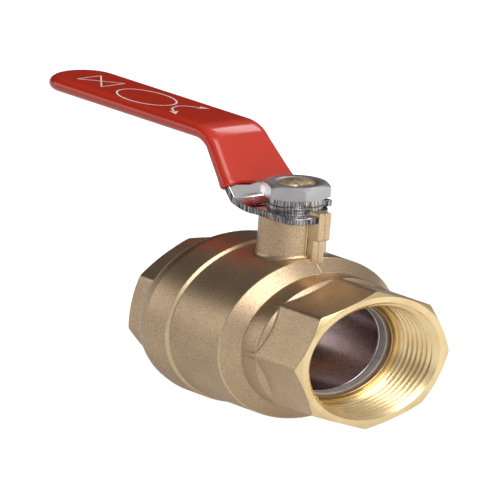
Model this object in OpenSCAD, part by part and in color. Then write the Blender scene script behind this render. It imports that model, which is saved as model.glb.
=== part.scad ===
// Two-piece forged brass ball valve, full port, female pipe ends, lever operated.
// Origin: centre of the ball, where the port axis crosses the stem axis.
// +X runs along the port out of the body end, +Z runs up the stem, millimetres.
// The grip lies along -X while the valve is open and swings to +Y to shut it.

/* [Ends] */
// distance from the stem axis to the face of the body end
body_end_x = 45; // [44:0.5:50]
// distance from the stem axis to the face of the screwed end cap
cap_end_x = 43; // [42.5:0.5:48]
// across flats of both octagonal wrench ends
octagon_af = 54; // [53.6:0.2:57]
// turn of the end cap octagon about the port after it is screwed tight
cap_turn = 15; // [0:1:45]
// crest radius of the female pipe thread, modelled as a plain bore
thread_r = 22.25; // [22:0.05:22.6]
// distance from the stem axis to the inner end of both threads
thread_start = 29.5; // [29:0.25:30.5]
// radius at the mouth of the entry chamfer
mouth_r = 24.7; // [24:0.1:25.2]

/* [Body] */
// outer radius of the barrel around the ball
barrel_r = 34; // [33.6:0.1:36]
// outer radius of the thicker rim that holds the end cap thread
rim_r = 35; // [34.8:0.1:37]
// radius of the round collar between shoulder and body octagon
collar_r = 28.7; // [28.4:0.1:29]
// radius of the chamber that clears the ball
chamber_r = 30.2; // [30.1:0.05:30.4]

/* [Ball and seats] */
// radius of the ball
ball_r = 29.7; // [29.4:0.05:29.8]
// radius of the waterway through ball and seats
port_r = 19; // [16:0.25:19]
// outer radius of each seat ring
seat_r = 25.3; // [24.8:0.1:25.3]

/* [Neck and stem] */
// outer radius of the stem neck
neck_r = 10.6; // [10.4:0.1:12]
// height of the top of the neck
neck_top = 49.2; // [48.8:0.1:49.3]
// radius of the stem shaft
stem_r = 6; // [5.5:0.05:6]
// radius of the thread on top of the stem
stem_thread_r = 5.9; // [5.4:0.05:5.9]
// height of the tip of the stem
stem_top = 63.7; // [63.4:0.1:66]
// half width of the stop lug that limits the lever
lug_half = 2.4; // [2:0.1:2.4]
// height of the top of the stop lug
lug_top = 53.8; // [52.6:0.1:56]

/* [Lever] */
// thickness of the lever plate
lever_t = 2.8; // [2.4:0.1:3]
// half width of the plate under the nut
plate_half = 11.3; // [10.6:0.1:12]
// half width of the bar inside the sleeve
bar_half = 10.1; // [9:0.1:10.4]
// height of the underside of the lever plate
plate_z = 49.5; // [49.5:0.1:49.8]
// steepness of the raised part in degrees
rise_angle = 51; // [42:1:58]
// height of the middle plane of the grip
grip_z = 75.3; // [72:0.5:84]
// distance from the stem axis to the middle of the rounded grip end
grip_reach = 110.4; // [90:0.5:130]
// thickness of the dipped sleeve on the flat sides
sleeve_t = 1.5; // [1:0.1:2]
// thickness of the dipped sleeve on the edges
sleeve_side = 1.3; // [1:0.1:1.8]

/* [Nut and washers] */
// across flats of the lever nut
nut_af = 19; // [18:0.5:19]
// height of the lever nut
nut_h = 6; // [5:0.5:6.5]
// turn of the lever nut about the stem
nut_turn = 40; // [0:1:60]
// outer radius of both washers
washer_r = 8.7; // [8.2:0.1:9.4]

/* [Hidden] */
$fn = 96;
oct_r = octagon_af / 2 / cos(22.5);
rim_end_x = -29.4;
nose_end_x = -17.4;
body_thread_r = 31;
seat_front = 17;
seat_back = 25.6;
seat_pocket_r = seat_r + 0.05;
port_gap_r = port_r + 0.6;
lip_x = 28;
slot_floor = 24.2;
collar_top = 32.1;
stem_collar_r = 8.4;
pocket_r = 8.6;
pocket_top = 33.5;
stem_flat = 4.6;
stem_ring_z = 34.85;
packing_z = 36.2;
packing_r = 8.2;
ring_h = 2.3;
gland_z = packing_z + 3 * ring_h;
bar_mid = plate_z + lever_t / 2;
plate_top = plate_z + lever_t;
washer_h = 2;
lock_h = 2.8;
nut_z = plate_top + washer_h + lock_h;
notch_gap = 0.15;
hub_r = 10.2;
knee_x = -14;
knee_r = 10.5;
shoulder_r = 11;
rise = grip_z - bar_mid;
knee_cut = knee_r * tan(rise_angle / 2);
shoulder_cut = shoulder_r * tan(rise_angle / 2);
slope_len = rise / sin(rise_angle);
shoulder_x = knee_x - slope_len * cos(rise_angle);
lip_s = 8;
lap = 0.1;
slim = 0.02;

// ---- helpers ----

// body of revolution about X from a closed outline given as [x, radius] pairs
module turned(outline) {
    rotate([0, 90, 0])
        rotate_extrude()
            polygon([for (p = outline) [p[1], p[0]]]);
}

// flat ring about Z
module ring(z, h, r_out, r_in) {
    translate([0, 0, z])
        difference() {
            cylinder(h = h, r = r_out);
            translate([0, 0, -1])
                cylinder(h = h + 2, r = r_in);
        }
}

// octagonal prism about X, one corner straight up before turning
module octagon(x0, x1, turn) {
    translate([x0, 0, 0])
        rotate([turn, 0, 0])
            rotate([0, 90, 0])
                cylinder(h = x1 - x0, r = oct_r, $fn = 8);
}

// wrench end: octagon trimmed by a cone at both ends
module wrench_end(x0, x1, turn) {
    intersection() {
        octagon(x0, x1, turn);
        turned([[x0, 0], [x0, oct_r - 0.9], [x0 + 1.2, oct_r + 0.4],
            [x1 - 1.6, oct_r + 0.4], [x1, oct_r - 2.3], [x1, 0]]);
    }
}

// female end bore drawn as solid: port, recess lip, thread bore, entry chamfer
module end_bore(face_x) {
    turned([[seat_back - 1, 0], [seat_back - 1, port_gap_r], [lip_x, port_gap_r],
        [lip_x, thread_r - 0.5], [thread_start, thread_r],
        [face_x - 2, thread_r], [face_x - 1.2, thread_r + 1],
        [face_x, mouth_r], [face_x + 1, mouth_r], [face_x + 1, 0]]);
}

// ---- fixed pieces ----

module body_shell() {
    turned([[rim_end_x, 0], [rim_end_x, rim_r - 1.6], [-27.6, rim_r - 0.7],
        [-24.6, rim_r], [-13.8, rim_r], [-12.8, barrel_r], [11.9, barrel_r],
        [16.6, collar_r], [24.2, collar_r], [24.2, 0]]);
    wrench_end(23.6, body_end_x, 0);
}

module neck() {
    translate([0, 0, 20])
        cylinder(h = neck_top - 20, r = neck_r);
    // foot of the neck
    translate([0, 0, 30])
        cylinder(h = 4, r1 = neck_r + 1.6, r2 = neck_r);
    // rib below the stop lug
    translate([0, -2.6, 28])
        cube([13.5, 5.2, 42 - 28]);
}

module stop_lug() {
    translate([8, -lug_half, 42])
        cube([7.8, 2 * lug_half, neck_top - 42]);
    translate([10.9, -lug_half, neck_top - 1])
        cube([4.9, 2 * lug_half, lug_top - neck_top + 1]);
}

module body() {
    color([0.72, 0.58, 0.36])
        difference() {
            union() {
                body_shell();
                neck();
                stop_lug();
            }
            // chamber, seat pocket and cap thread bore
            turned([[rim_end_x - 1, 0], [rim_end_x - 1, body_thread_r + 0.5],
                [rim_end_x, body_thread_r + 0.5], [rim_end_x + 0.6, body_thread_r],
                [-16.4, body_thread_r], [-15.6, chamber_r], [9, chamber_r],
                [16.6, seat_pocket_r], [seat_back, seat_pocket_r], [seat_back, 0]]);
            end_bore(body_end_x);
            // stem passage
            cylinder(h = pocket_top, r = pocket_r);
            translate([0, 0, 30])
                cylinder(h = 10, r = stem_r + 0.06);
            translate([0, 0, packing_z])
                cylinder(h = 20, r = packing_r);
        }
}

module end_cap() {
    color([0.74, 0.60, 0.38])
        difference() {
            union() {
                // flange that seats on the rim
                turned([[-31.6, 0], [-31.6, 31.4], [-31, 32.2], [-29.9, 32.9],
                    [rim_end_x, 32.9], [rim_end_x, 0]]);
                turned([[-30, 0], [-30, body_thread_r - 0.06],
                    [nose_end_x - 0.8, body_thread_r - 0.06],
                    [nose_end_x, body_thread_r - 0.9], [nose_end_x, 0]]);
                mirror([1, 0, 0])
                    wrench_end(30.4, cap_end_x, cap_turn);
            }
            mirror([1, 0, 0])
                end_bore(cap_end_x);
            // seat pocket
            turned([[-seat_back, 0], [-seat_back, seat_pocket_r],
                [-16, seat_pocket_r], [-16, 0]]);
            // groove of the o-ring
            turned([[-21.6, 28.6], [-21.6, 32], [-18.8, 32], [-18.8, 28.6]]);
        }
}

module cap_o_ring() {
    color([0.08, 0.08, 0.08])
        rotate([0, 90, 0])
            translate([0, 0, -20.2])
                rotate_extrude()
                    translate([29.8, 0])
                        circle(r = 1.15);
}

module seat_ring() {
    difference() {
        turned([[seat_front, port_r], [seat_front, seat_r], [seat_back, seat_r],
            [seat_back, port_r]]);
        sphere(r = ball_r + 0.06);
    }
}

module seat_body_side() {
    color([0.93, 0.93, 0.90])
        seat_ring();
}

module seat_cap_side() {
    color([0.93, 0.93, 0.90])
        mirror([1, 0, 0])
            seat_ring();
}

module packing_ring_bottom() {
    color([0.93, 0.93, 0.90])
        rotate_extrude()
            polygon([[stem_r + 0.06, packing_z], [packing_r - 0.03, packing_z],
                [packing_r - 0.03, packing_z + ring_h - 0.6],
                [(stem_r + packing_r) / 2, packing_z + ring_h],
                [stem_r + 0.06, packing_z + ring_h - 0.6]]);
}

module packing_ring_middle() {
    z0 = packing_z + ring_h;
    mid = (stem_r + packing_r) / 2;
    color([0.90, 0.90, 0.86])
        rotate_extrude()
            polygon([[stem_r + 0.06, z0 - 0.6], [mid, z0], [packing_r - 0.03, z0 - 0.6],
                [packing_r - 0.03, z0 + ring_h - 0.6], [mid, z0 + ring_h],
                [stem_r + 0.06, z0 + ring_h - 0.6]]);
}

module packing_ring_top() {
    z0 = packing_z + 2 * ring_h;
    mid = (stem_r + packing_r) / 2;
    color([0.93, 0.93, 0.90])
        rotate_extrude()
            polygon([[stem_r + 0.06, z0 - 0.6], [mid, z0], [packing_r - 0.03, z0 - 0.6],
                [packing_r - 0.03, z0 + ring_h], [stem_r + 0.06, z0 + ring_h]]);
}

module packing_gland() {
    color([0.78, 0.62, 0.36])
        difference() {
            ring(gland_z, neck_top - 0.3 - gland_z, packing_r - 0.04, stem_r + 0.08);
            // spanner slots
            for (a = [0, 90])
                rotate([0, 0, a])
                    translate([-10, -0.9, neck_top - 1.9])
                        cube([20, 1.8, 3]);
        }
}

// ---- ball ----

module ball() {
    color([0.80, 0.81, 0.83])
        difference() {
            sphere(r = ball_r);
            translate([-40, 0, 0])
                rotate([0, 90, 0])
                    cylinder(h = 80, r = port_r);
            // drive slot for the stem tang
            translate([-4, -9, slot_floor])
                cube([8, 18, 10]);
        }
}

// ---- pieces that turn with the lever ----

module stem_section() {
    // double D that carries lever and thread, chamfered at the tip
    intersection() {
        union() {
            translate([0, 0, plate_z - 0.1])
                cylinder(h = stem_top - 0.6 - plate_z + 0.1, r = stem_thread_r);
            translate([0, 0, stem_top - 0.6])
                cylinder(h = 0.6, r1 = stem_thread_r, r2 = stem_thread_r - 0.6);
        }
        translate([-stem_flat, -10, plate_z - 1])
            cube([2 * stem_flat, 20, 30]);
    }
}

module stem() {
    color([0.76, 0.60, 0.34])
        difference() {
            union() {
                // tang in the slot of the ball
                intersection() {
                    translate([-3.9, -7.2, slot_floor + 0.5])
                        cube([7.8, 14.4, 6.2]);
                    cylinder(h = 40, r = stem_collar_r - 0.4);
                }
                // collar that keeps the stem inside the body
                translate([0, 0, 30.1])
                    cylinder(h = collar_top - 30.1, r = stem_collar_r);
                translate([0, 0, collar_top - 0.5])
                    cylinder(h = plate_z - collar_top + 0.5, r = stem_r);
                stem_section();
            }
            // o-ring groove
            ring(stem_ring_z - 0.75, 1.5, stem_r + 1, stem_r - 1.3);
        }
}

module stem_o_ring() {
    color([0.08, 0.08, 0.08])
        rotate_extrude()
            translate([stem_r - 0.66, stem_ring_z])
                circle(r = 0.62);
}

module stem_thrust_washer() {
    color([0.93, 0.93, 0.90])
        ring(collar_top + 0.05, pocket_top - collar_top - 0.1, pocket_r - 0.1, stem_r + 0.06);
}

// outline of the plate seen from above
module plate_outline() {
    difference() {
        union() {
            translate([knee_x + knee_cut - lap, -bar_half])
                square([10, 2 * bar_half]);
            // main field with rounded front corners
            translate([-4, -plate_half])
                square([14.2, 2 * plate_half]);
            translate([-4, -plate_half + 5])
                square([19.2, 2 * plate_half - 10]);
            for (s = [-1, 1])
                translate([10.2, s * (plate_half - 5)])
                    circle(r = 5);
            // round ears behind the stem
            translate([-4, 0])
                circle(r = plate_half);
            // wing that carries the shut stop
            translate([-2.5, 8.4])
                circle(r = 8);
        }
        // quarter notch that straddles the stop lug
        difference() {
            translate([-lug_half - notch_gap, -lug_half - notch_gap])
                square([30, 30]);
            circle(r = hub_r);
        }
    }
}

// 2D cross-section of the sleeve, y across, x through the thickness, drawn less by less all round
module sleeve_section(less = 0) {
    half_t = lever_t / 2 + sleeve_t - less;
    flat_half = bar_half + sleeve_side - half_t - less;
    translate([-half_t, -flat_half])
        square([2 * half_t, 2 * flat_half]);
    for (s = [-1, 1])
        translate([0, s * flat_half])
            circle(r = half_t);
}

// 2D cross-section of the bare bar, drawn less by less all round
module bar_section(less = 0) {
    translate([-lever_t / 2 + less, -bar_half + less])
        square([lever_t - 2 * less, 2 * (bar_half - less)]);
}

// The straight runs lap into both bends, and the bends are drawn slim all round so that
// no two faces of the lap fall on each other.

// lower bend, turned about an axis along Y above the plate
module knee_bend() {
    translate([knee_x + knee_cut, 0, bar_mid + knee_r])
        rotate([90, 0, 0])
            rotate([0, 0, -90 - rise_angle])
                rotate_extrude(angle = rise_angle)
                    translate([knee_r, 0])
                        children();
}

// upper bend, turned about an axis along Y below the grip
module shoulder_bend() {
    translate([shoulder_x - shoulder_cut, 0, grip_z - shoulder_r])
        rotate([90, 0, 0])
            rotate([0, 0, 90 - rise_angle])
                rotate_extrude(angle = rise_angle)
                    translate([shoulder_r, 0])
                        children();
}

// straight run up the slope, from s0 to s1 measured from the knee corner
module slope_run(s0, s1) {
    translate([knee_x, 0, bar_mid])
        rotate([0, rise_angle - 90, 0])
            translate([0, 0, s0])
                linear_extrude(s1 - s0)
                    children();
}

module lever_solid() {
    difference() {
        translate([0, 0, plate_z])
            linear_extrude(lever_t)
                plate_outline();
        // double D opening
        intersection() {
            cylinder(h = 80, r = stem_thread_r + 0.02);
            translate([-stem_flat - 0.02, -10, 0])
                cube([2 * stem_flat + 0.04, 20, 80]);
        }
    }
    knee_bend()
        bar_section(slim);
    slope_run(knee_cut - lap, slope_len - shoulder_cut + lap)
        bar_section();
    shoulder_bend()
        bar_section(slim);
    grip_bar();
}

module grip_bar() {
    translate([-grip_reach, -bar_half, grip_z - lever_t / 2])
        cube([grip_reach + shoulder_x - shoulder_cut + lap, 2 * bar_half, lever_t]);
    translate([-grip_reach, 0, grip_z - lever_t / 2])
        cylinder(h = lever_t, r = bar_half);
}

module lever() {
    color([0.82, 0.83, 0.85])
        lever_solid();
}

module lever_sleeve() {
    half_t = lever_t / 2 + sleeve_t;
    flat_half = bar_half + sleeve_side - half_t;
    color([0.78, 0.12, 0.10])
        difference() {
            union() {
                slope_run(lip_s, slope_len - shoulder_cut + lap)
                    sleeve_section();
                shoulder_bend()
                    sleeve_section(slim);
                translate([-grip_reach, 0, grip_z])
                    rotate([0, 90, 0])
                        linear_extrude(grip_reach + shoulder_x - shoulder_cut + lap)
                            sleeve_section();
                // rounded end of the grip
                translate([-grip_reach, 0, grip_z])
                    rotate([0, 0, 90])
                        rotate_extrude(angle = 180)
                            intersection() {
                                rotate([0, 0, 90])
                                    sleeve_section();
                                translate([0, -half_t - 1])
                                    square([flat_half + half_t + 1, 2 * half_t + 2]);
                            }
            }
            slope_run(lip_s - 1, slope_len - shoulder_cut + lap)
                bar_section();
            shoulder_bend()
                bar_section(slim);
            grip_bar();
        }
}

module flat_washer() {
    color([0.86, 0.86, 0.88])
        ring(plate_top, washer_h, washer_r, stem_thread_r + 0.1);
}

module lock_washer() {
    color([0.84, 0.84, 0.86])
        difference() {
            ring(plate_top + washer_h, lock_h, washer_r - 0.1, stem_thread_r + 0.1);
            // split
            rotate([0, 0, 118])
                translate([0, -0.5, plate_top + washer_h - 1])
                    cube([20, 1, lock_h + 2]);
        }
}

module lever_nut() {
    nut_r = nut_af / 2 / cos(30);
    color([0.74, 0.74, 0.76])
        difference() {
            intersection() {
                translate([0, 0, nut_z])
                    rotate([0, 0, nut_turn])
                        cylinder(h = nut_h, r = nut_r, $fn = 6);
                // top chamfer
                translate([0, 0, nut_z])
                    cylinder(h = nut_h, r1 = nut_af / 2 - 0.1 + nut_h / tan(30),
                        r2 = nut_af / 2 - 0.1);
            }
            translate([0, 0, nut_z - 1])
                cylinder(h = nut_h + 2, r = stem_thread_r + 0.02);
            translate([0, 0, nut_z + nut_h - 0.7])
                cylinder(h = 0.8, r1 = stem_thread_r + 0.02, r2 = stem_thread_r + 0.9);
        }
}

body();
end_cap();
cap_o_ring();
seat_body_side();
seat_cap_side();
ball();
stem();
stem_o_ring();
stem_thrust_washer();
packing_ring_bottom();
packing_ring_middle();
packing_ring_top();
packing_gland();
lever();
lever_sleeve();
flat_washer();
lock_washer();
lever_nut();
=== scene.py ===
"""Looks of a two-piece brass ball valve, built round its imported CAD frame."""

import math

import bmesh
import bpy
from mathutils import Matrix, Vector


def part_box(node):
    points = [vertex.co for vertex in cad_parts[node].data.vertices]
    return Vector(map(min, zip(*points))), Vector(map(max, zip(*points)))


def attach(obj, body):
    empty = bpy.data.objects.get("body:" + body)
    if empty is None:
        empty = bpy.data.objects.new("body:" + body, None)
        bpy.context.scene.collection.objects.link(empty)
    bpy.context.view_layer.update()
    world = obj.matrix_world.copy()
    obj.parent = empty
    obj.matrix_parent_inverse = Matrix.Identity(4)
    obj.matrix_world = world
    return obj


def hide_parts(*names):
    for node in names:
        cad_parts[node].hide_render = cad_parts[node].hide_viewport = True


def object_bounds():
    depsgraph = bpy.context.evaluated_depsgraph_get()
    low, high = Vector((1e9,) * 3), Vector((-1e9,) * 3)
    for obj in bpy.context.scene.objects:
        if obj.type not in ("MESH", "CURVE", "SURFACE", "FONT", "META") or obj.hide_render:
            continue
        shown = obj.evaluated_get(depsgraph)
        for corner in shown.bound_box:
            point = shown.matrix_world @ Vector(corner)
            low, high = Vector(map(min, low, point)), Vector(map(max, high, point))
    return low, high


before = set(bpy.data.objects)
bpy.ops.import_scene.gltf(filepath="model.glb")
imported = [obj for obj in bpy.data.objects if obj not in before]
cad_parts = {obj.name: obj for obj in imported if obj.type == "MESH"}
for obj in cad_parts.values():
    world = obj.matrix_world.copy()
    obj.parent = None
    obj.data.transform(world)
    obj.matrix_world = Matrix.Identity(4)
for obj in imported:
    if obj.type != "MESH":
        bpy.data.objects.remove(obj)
CAD_LOW, CAD_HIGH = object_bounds()
MM = 0.001


# ---- sizes in millimetres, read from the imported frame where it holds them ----


def span(node):
    """A CAD node's lowest and highest corner in millimetres."""
    low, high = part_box(node)
    return low / MM, high / MM


BODY_LOW, BODY_HIGH = span("body")
CAP_LOW, CAP_HIGH = span("end_cap")
LEVER_LOW = span("lever")[0]
SLEEVE_LOW, SLEEVE_HIGH = span("lever_sleeve")
NUT_LOW, NUT_HIGH = span("lever_nut")
WASHER_LOW, WASHER_HIGH = span("flat_washer")
LOCK_LOW, LOCK_HIGH = span("lock_washer")
STEM_LOW, STEM_HIGH = span("stem")

# body and cap, x being the distance from the stem axis along the ports
FACE_X = BODY_HIGH.x
CAP_X = -CAP_LOW.x
RIM_R = -BODY_LOW.z
BARREL_R = 34.0
WAIST_R = 28.7
REAR_STEP_X = -13.9
FRONT_STEP_X = 11.9
APOTHEM = 27.0
CAP_TURN = math.radians(15)
FACE_R = 26.2
SEAM_FROM, SEAM_TO = -26, 23

# pipe threads, and the steps from the end of each to its seat
PITCH = 25.4 / 11.5
CREST_R = 22.25
ROOT_R = 23.65
MOUTH_R = 24.7
THREAD_END = 29.3
SEAT_X = 25.6
SEAT_R = 25.36
PORT_R = 19.6
PORT_STEPS = (
    (28.2, 21.7),
    (28.0, 21.5),
    (28.0, PORT_R + 0.25),
    (27.8, PORT_R + 0.05),
    (SEAT_X + 0.02, PORT_R),
    (SEAT_X, SEAT_R),
)
CHAMBER_R = 30.2
NOSE_X = -CAP_HIGH.x
NOSE_R = 29.9
BALL_RIM_X = 22.25

# neck, stop lug and stem
NECK_R = 10.6
NECK_TOP = BODY_HIGH.z - 4.6
LUG_X = 15.8
STEM_BORE_R = 8.2
STEM_R = 6.0
STEM_THREAD_R = 5.9
STEM_FLAT = 4.6
STEM_FLAT_FROM = 49.4

# lever and sleeve
PLATE_Z = LEVER_LOW.z
PLATE_T = WASHER_LOW.z - PLATE_Z
PLATE_BACK = -7.0
BAR_HALF = 10.1
KNEE_HALF = 12.1
KNEE_X = -14.0
RISE = math.radians(51)
SHOULDER_R = 11.0
SLEEVE_HALF = BAR_HALF + 1.3
SLEEVE_T = PLATE_T + 3.0
SLEEVE_CROWN = 0.12
GRIP_Z = SLEEVE_HIGH.z - SLEEVE_T / 2
GRIP_TIP = SLEEVE_LOW.x
GRIP_END = GRIP_TIP + SLEEVE_HALF
LIP_S = 8.0
LIP_WIDER = 2.05
WING_X, WING_Y, WING_R = -2.5, 8.4, 8.0

# places in the material lists of the pieces that have more than one
CAST, TURNED, STEP_HIGHLIGHT = 0, 1, 2
PLATED, SHEARED = 0, 1


# ---- mesh helpers ----


def finish_mesh(name, bm, body, nodes, materials, sharp):
    """Makes a smooth-shaded object from bm, in millimetres, and binds it to the frame.
    Edges sharper than the angle sharp, in degrees, stay crisp."""
    bmesh.ops.remove_doubles(bm, verts=bm.verts, dist=1e-4)
    bmesh.ops.recalc_face_normals(bm, faces=bm.faces)
    bmesh.ops.scale(bm, vec=(MM, MM, MM), verts=bm.verts)
    mesh = bpy.data.meshes.new(name)
    bm.to_mesh(mesh)
    bm.free()
    for m in materials:
        mesh.materials.append(m)
    mesh.shade_smooth()
    mesh.set_sharp_from_angle(angle=math.radians(sharp))
    piece = bpy.data.objects.new(name, mesh)
    bpy.context.scene.collection.objects.link(piece)
    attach(piece, body)
    if nodes:
        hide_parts(*nodes)
    return piece


def even_angles(count):
    """Angles of one turn in equal steps."""
    return [2 * math.pi * k / count for k in range(count)]


def point(x, r, angle):
    """Point at radius r about the port axis, its angle from straight up."""
    return Vector((x, r * math.sin(angle), r * math.cos(angle)))


def port_ring(x, r, angles):
    """Ring of radius r about the port axis at x."""
    return [point(x, r, a) for a in angles]


def level_ring(r, z, angles):
    """Ring of radius r about the stem axis at height z."""
    return [Vector((r * math.cos(a), r * math.sin(a), z)) for a in angles]


def loop_grid(bm, rows, material=0, closed_rows=False, closed_cols=True):
    """Faces between rows of points. material is a number or a function of the row number."""
    verts = [[bm.verts.new(p) for p in row] for row in rows]
    count = len(rows)
    for i in range(count if closed_rows else count - 1):
        a, b = verts[i], verts[(i + 1) % count]
        n = len(a)
        for j in range(n if closed_cols else n - 1):
            k = (j + 1) % n
            f = bm.faces.new((a[j], a[k], b[k], b[j]))
            f.material_index = material(i) if callable(material) else material
    return verts


def fillet_line(points, steps=6):
    """Polyline from (x, r, radius) corners, each rounded by its radius."""
    out = []
    n = len(points)
    for i, (x, r, rad) in enumerate(points):
        if rad <= 0 or i in (0, n - 1):
            out.append((x, r))
            continue
        p = Vector((x, r))
        a = (Vector(points[i - 1][:2]) - p).normalized()
        b = (Vector(points[i + 1][:2]) - p).normalized()
        half = a.angle(b) / 2
        cut = rad / math.tan(half)
        centre = p + (a + b).normalized() * (rad / math.sin(half))
        start, end = p + a * cut - centre, p + b * cut - centre
        turn = start.angle_signed(end)
        for k in range(steps + 1):
            t = -turn * k / steps
            out.append(
                (
                    centre.x + start.x * math.cos(t) - start.y * math.sin(t),
                    centre.y + start.x * math.sin(t) + start.y * math.cos(t),
                )
            )
    return out


def offset_outline(points, inset):
    """Moves a closed counter-clockwise outline inwards by inset, corner by corner."""
    out = []
    n = len(points)
    for i in range(n):
        p, q, r = Vector(points[i - 1]), Vector(points[i]), Vector(points[(i + 1) % n])
        a, b = (q - p).normalized(), (r - q).normalized()
        na, nb = Vector((-a.y, a.x)), Vector((-b.y, b.x))
        m = na + nb
        m = m.normalized() if m.length > 1e-6 else na
        out.append(q + m * (inset / max(0.4, m.dot(na))))
    return out


def rounded_prism(bm, outline, z0, z1, edge, steps=4):
    """Prism of a closed outline with rounded top and bottom edges."""
    levels = []
    for k in range(steps + 1):
        a = math.pi / 2 * k / steps
        levels.append((edge * (1 - math.sin(a)), z0 + edge * (1 - math.cos(a))))
    for k in range(steps + 1):
        a = math.pi / 2 * k / steps
        levels.append((edge * (1 - math.cos(a)), z1 - edge * (1 - math.sin(a))))
    rings = []
    for inset, z in levels:
        rings.append([Vector((p.x, p.y, z)) for p in offset_outline(outline, inset)])
    verts = loop_grid(bm, rings)
    for ring in (verts[0], verts[-1]):
        f = bm.faces.new(ring)
        f.normal_update()
        bmesh.ops.triangulate(bm, faces=[f], ngon_method="EAR_CLIP")


def arc(cx, cy, r, a0, a1, steps):
    """Points of an arc, angles in degrees."""
    return [
        (
            cx + r * math.cos(math.radians(a0 + (a1 - a0) * k / steps)),
            cy + r * math.sin(math.radians(a0 + (a1 - a0) * k / steps)),
        )
        for k in range(steps + 1)
    ]


# ---- materials ----


def new_material(name):
    """A material with its node tree and its Principled shader."""
    m = bpy.data.materials.new(name)
    m.use_nodes = True
    nt = m.node_tree
    return m, nt, nt.nodes["Principled BSDF"]


def node(nt, kind, **values):
    """Adds a node, with values for its inputs or its settings."""
    n = nt.nodes.new(kind)
    for key, value in values.items():
        if key in n.inputs:
            n.inputs[key].default_value = value
        else:
            setattr(n, key, value)
    return n


def coords(nt, scale=(1, 1, 1)):
    """Object coordinates in metres, stretched by scale."""
    tc = node(nt, "ShaderNodeTexCoord")
    mp = node(nt, "ShaderNodeMapping")
    mp.inputs["Scale"].default_value = scale
    nt.links.new(tc.outputs["Object"], mp.inputs["Vector"])
    return mp.outputs["Vector"]


def noise(nt, vector, scale, detail, rough):
    """Noise with scale features to the metre."""
    n = node(nt, "ShaderNodeTexNoise", Scale=scale, Detail=detail, Roughness=rough)
    nt.links.new(vector, n.inputs["Vector"])
    return n.outputs["Fac"]


def ramp(nt, factor, stops):
    """Colour ramp with (position, (r, g, b)) stops."""
    n = node(nt, "ShaderNodeValToRGB")
    e = n.color_ramp.elements
    while len(e) < len(stops):
        e.new(0.5)
    for item, (pos, colour) in zip(e, stops):
        item.position = pos
        item.color = (*colour, 1)
    nt.links.new(factor, n.inputs["Fac"])
    return n.outputs["Color"]


def spread(nt, factor, low, high, a=0.3, b=0.7):
    """Maps a factor in a..b to low..high."""
    n = node(nt, "ShaderNodeMapRange")
    n.inputs["From Min"].default_value = a
    n.inputs["From Max"].default_value = b
    n.inputs["To Min"].default_value = low
    n.inputs["To Max"].default_value = high
    nt.links.new(factor, n.inputs["Value"])
    return n.outputs["Result"]


def mix(nt, factor, a, b, blend="MIX"):
    """Blends two colours, each a tuple or another node's output."""
    n = node(nt, "ShaderNodeMix", data_type="RGBA", blend_type=blend)
    sockets = [s for s in n.inputs if s.type == "RGBA"]
    for socket, value in zip(sockets, (a, b)):
        if isinstance(value, tuple):
            socket.default_value = (*value, 1)
        else:
            nt.links.new(value, socket)
    if isinstance(factor, (int, float)):
        n.inputs["Factor"].default_value = factor
    else:
        nt.links.new(factor, n.inputs["Factor"])
    return next(s for s in n.outputs if s.type == "RGBA")


def bump(nt, bsdf, heights):
    """Chains bumps from (height, strength, distance) rows onto the shader."""
    last = None
    for height, strength, distance in heights:
        n = node(nt, "ShaderNodeBump", Strength=strength, Distance=distance)
        nt.links.new(height, n.inputs["Height"])
        if last:
            nt.links.new(last, n.inputs["Normal"])
        last = n.outputs["Normal"]
    nt.links.new(last, bsdf.inputs["Normal"])


def painted_edge_highlight(nt):
    """Mask for a painted highlight: 0 on flat surface, 1 on convex edges."""
    flat, sharp = 0.52, 0.62
    g = node(nt, "ShaderNodeNewGeometry")
    return spread(nt, g.outputs["Pointiness"], 0.0, 1.0, flat, sharp)


def forged_brass():
    """Shot-blasted forging: fine pits, cloudy tone, and convex edges painted lighter as a highlight."""
    m, nt, b = new_material("forged_brass")
    v = coords(nt)
    grain = noise(nt, v, 2900, 3, 0.65)
    cloud = noise(nt, v, 60, 3, 0.5)
    tone = ramp(nt, cloud, [(0.3, (0.66, 0.485, 0.315)), (0.7, (0.76, 0.575, 0.37))])
    speck = ramp(nt, grain, [(0.34, (0.42, 0.37, 0.33)), (0.56, (1.0, 1.0, 1.0))])
    tone = mix(nt, 0.75, tone, speck, "MULTIPLY")
    # painted highlight: convex edges blend to a lighter, yellower brass
    tone = mix(nt, painted_edge_highlight(nt), tone, (0.86, 0.70, 0.42))
    nt.links.new(tone, b.inputs["Base Color"])
    nt.links.new(spread(nt, grain, 0.44, 0.32), b.inputs["Roughness"])
    b.inputs["Metallic"].default_value = 1.0
    bump(nt, b, [(grain, 0.4, 0.00006), (cloud, 0.15, 0.0004)])
    return m


def machined_brass():
    """Turned brass: fine concentric tool marks about the port axis."""
    m, nt, b = new_material("machined_brass")
    tc = node(nt, "ShaderNodeTexCoord")
    split = node(nt, "ShaderNodeSeparateXYZ")
    nt.links.new(tc.outputs["Object"], split.inputs["Vector"])
    flat = node(nt, "ShaderNodeCombineXYZ")
    nt.links.new(split.outputs["Y"], flat.inputs["X"])
    nt.links.new(split.outputs["Z"], flat.inputs["Y"])
    length = node(nt, "ShaderNodeVectorMath", operation="LENGTH")
    nt.links.new(flat.outputs["Vector"], length.inputs[0])
    rings = node(nt, "ShaderNodeCombineXYZ")
    nt.links.new(length.outputs["Value"], rings.inputs["X"])
    nt.links.new(split.outputs["X"], rings.inputs["Y"])
    marks = noise(nt, rings.outputs["Vector"], 3200, 2, 0.6)
    v = coords(nt)
    cloud = noise(nt, v, 110, 4, 0.6)
    tone = ramp(nt, cloud, [(0.3, (0.80, 0.60, 0.31)), (0.7, (0.90, 0.72, 0.42))])
    nt.links.new(tone, b.inputs["Base Color"])
    nt.links.new(spread(nt, marks, 0.20, 0.36), b.inputs["Roughness"])
    b.inputs["Metallic"].default_value = 1.0
    bump(nt, b, [(marks, 0.12, 0.00004), (cloud, 0.05, 0.0002)])
    return m


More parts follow.
